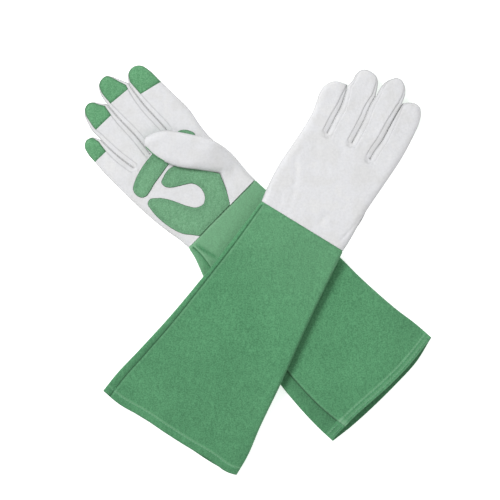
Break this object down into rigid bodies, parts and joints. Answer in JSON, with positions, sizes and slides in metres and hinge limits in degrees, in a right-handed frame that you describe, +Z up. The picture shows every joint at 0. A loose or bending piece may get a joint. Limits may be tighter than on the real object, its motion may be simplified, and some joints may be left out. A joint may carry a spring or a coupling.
{
  "type": "gardening gloves",
  "caption": "Pair of long gauntlet gardening gloves, grain leather hands with suede cuffs, palm patches and fingertips, laid crossed, with bending fingers, thumbs and wrists.",
  "frame": {"origin": "on the surface that the gloves lie on, under the middle of the pair's box", "axes": "+Z up; +Y towards the fingertips of both gloves; the right glove, underneath, points to -X and the left glove, on top, points to +X"},
  "size_m": [0.3694, 0.4378, 0.0267],
  "materials": {
    "white_leather": "matt off-white grain leather",
    "green_suede": "green split suede with a short nap",
    "patch_suede": "lighter green split suede",
    "fingertip_suede": "green split suede, worn"
  },
  "bodies": {
    "right_cuff": {"right_cuff_palm_panel": "green_suede", "right_cuff_back_panel": "green_suede", "right_cuff_hem": "green_suede", "right_cuff_side_seam": "green_suede"},
    "right_hand": {"right_palm_panel": "white_leather", "right_back_panel": "white_leather", "right_knuckle_bar_patch": "patch_suede", "right_horseshoe_patch": "patch_suede", "right_thumb_gusset": "white_leather", "right_little_ring_fourchette": "white_leather", "right_ring_middle_fourchette": "white_leather", "right_middle_index_fourchette": "white_leather"},
    "right_thumb": {"right_thumb_back": "white_leather", "right_thumb_front": "white_leather", "right_thumb_tip_patch": "fingertip_suede"},
    "right_little_finger": {"right_little_finger_back": "white_leather", "right_little_finger_front": "white_leather", "right_little_finger_tip_patch": "fingertip_suede"},
    "right_ring_finger": {"right_ring_finger_back": "white_leather", "right_ring_finger_front": "white_leather", "right_ring_finger_tip_patch": "fingertip_suede"},
    "right_middle_finger": {"right_middle_finger_back": "white_leather", "right_middle_finger_front": "white_leather", "right_middle_finger_tip_patch": "fingertip_suede"},
    "right_index_finger": {"right_index_finger_back": "white_leather", "right_index_finger_front": "white_leather", "right_index_finger_tip_patch": "fingertip_suede"},
    "left_cuff": {"left_cuff_palm_panel": "green_suede", "left_cuff_back_panel": "green_suede", "left_cuff_hem": "green_suede", "left_cuff_side_seam": "green_suede"},
    "left_hand": {"left_palm_panel": "white_leather", "left_back_panel": "white_leather", "left_knuckle_bar_patch": "patch_suede", "left_horseshoe_patch": "patch_suede", "left_thumb_gusset": "white_leather", "left_little_ring_fourchette": "white_leather", "left_ring_middle_fourchette": "white_leather", "left_middle_index_fourchette": "white_leather"},
    "left_thumb": {"left_thumb_back": "white_leather", "left_thumb_front": "white_leather", "left_thumb_tip_patch": "fingertip_suede"},
    "left_little_finger": {"left_little_finger_back": "white_leather", "left_little_finger_front": "white_leather", "left_little_finger_tip_patch": "fingertip_suede"},
    "left_ring_finger": {"left_ring_finger_back": "white_leather", "left_ring_finger_front": "white_leather", "left_ring_finger_tip_patch": "fingertip_suede"},
    "left_middle_finger": {"left_middle_finger_back": "white_leather", "left_middle_finger_front": "white_leather", "left_middle_finger_tip_patch": "fingertip_suede"},
    "left_index_finger": {"left_index_finger_back": "white_leather", "left_index_finger_front": "white_leather", "left_index_finger_tip_patch": "fingertip_suede"}
  },
  "joints": [
    {"name": "right_wrist", "type": "hinge", "parent": "right_cuff", "child": "right_hand", "pos_m": [-0.0394, 0.0597, 0.006], "axis": [0.6972, 0.7169, 0], "range_deg": [-45, 60]},
    {"name": "right_thumb_swing", "type": "hinge", "parent": "right_hand", "child": "right_thumb", "pos_m": [-0.05473, 0.14435, 0.0128], "axis": [-0.7169, 0.6972, 0], "range_deg": [0, 110]},
    {"name": "right_little_bend", "type": "hinge", "parent": "right_hand", "child": "right_little_finger", "pos_m": [-0.14755, 0.10627, 0.006], "axis": [0.6921, 0.7218, 0], "range_deg": [-10, 85]},
    {"name": "right_ring_bend", "type": "hinge", "parent": "right_hand", "child": "right_ring_finger", "pos_m": [-0.13799, 0.13401, 0.006], "axis": [0.7181, 0.6959, 0], "range_deg": [-10, 85]},
    {"name": "right_middle_bend", "type": "hinge", "parent": "right_hand", "child": "right_middle_finger", "pos_m": [-0.11977, 0.15623, 0.006], "axis": [0.7478, 0.6639, 0], "range_deg": [-10, 85]},
    {"name": "right_index_bend", "type": "hinge", "parent": "right_hand", "child": "right_index_finger", "pos_m": [-0.09417, 0.17038, 0.006], "axis": [0.7513, 0.66, 0], "range_deg": [-10, 85]},
    {"name": "left_glove_lift", "type": "slide", "parent": "right_cuff", "child": "left_cuff", "axis": [0, 0, 1], "range_m": [0, 0.15]},
    {"name": "left_wrist", "type": "hinge", "parent": "left_cuff", "child": "left_hand", "pos_m": [0.0462, 0.0474, 0.02], "axis": [-0.8526, 0.5225, 0], "range_deg": [-45, 15]},
    {"name": "left_thumb_swing", "type": "hinge", "parent": "left_hand", "child": "left_thumb", "pos_m": [0.12541, 0.08096, 0.0132], "axis": [-0.5225, -0.8526, 0], "range_deg": [0, 110]},
    {"name": "left_little_bend", "type": "hinge", "parent": "left_hand", "child": "left_little_finger", "pos_m": [0.06648, 0.16388, 0.02], "axis": [-0.9026, 0.4305, 0], "range_deg": [-10, 85]},
    {"name": "left_ring_bend", "type": "hinge", "parent": "left_hand", "child": "left_ring_finger", "pos_m": [0.09378, 0.16175, 0.02], "axis": [-0.9011, 0.4337, 0], "range_deg": [-10, 85]},
    {"name": "left_middle_bend", "type": "hinge", "parent": "left_hand", "child": "left_middle_finger", "pos_m": [0.1193, 0.14915, 0.02], "axis": [-0.8805, 0.4741, 0], "range_deg": [-10, 85]},
    {"name": "left_index_bend", "type": "hinge", "parent": "left_hand", "child": "left_index_finger", "pos_m": [0.13989, 0.1266, 0.02], "axis": [-0.8729, 0.4879, 0], "range_deg": [-10, 85]}
  ]
}
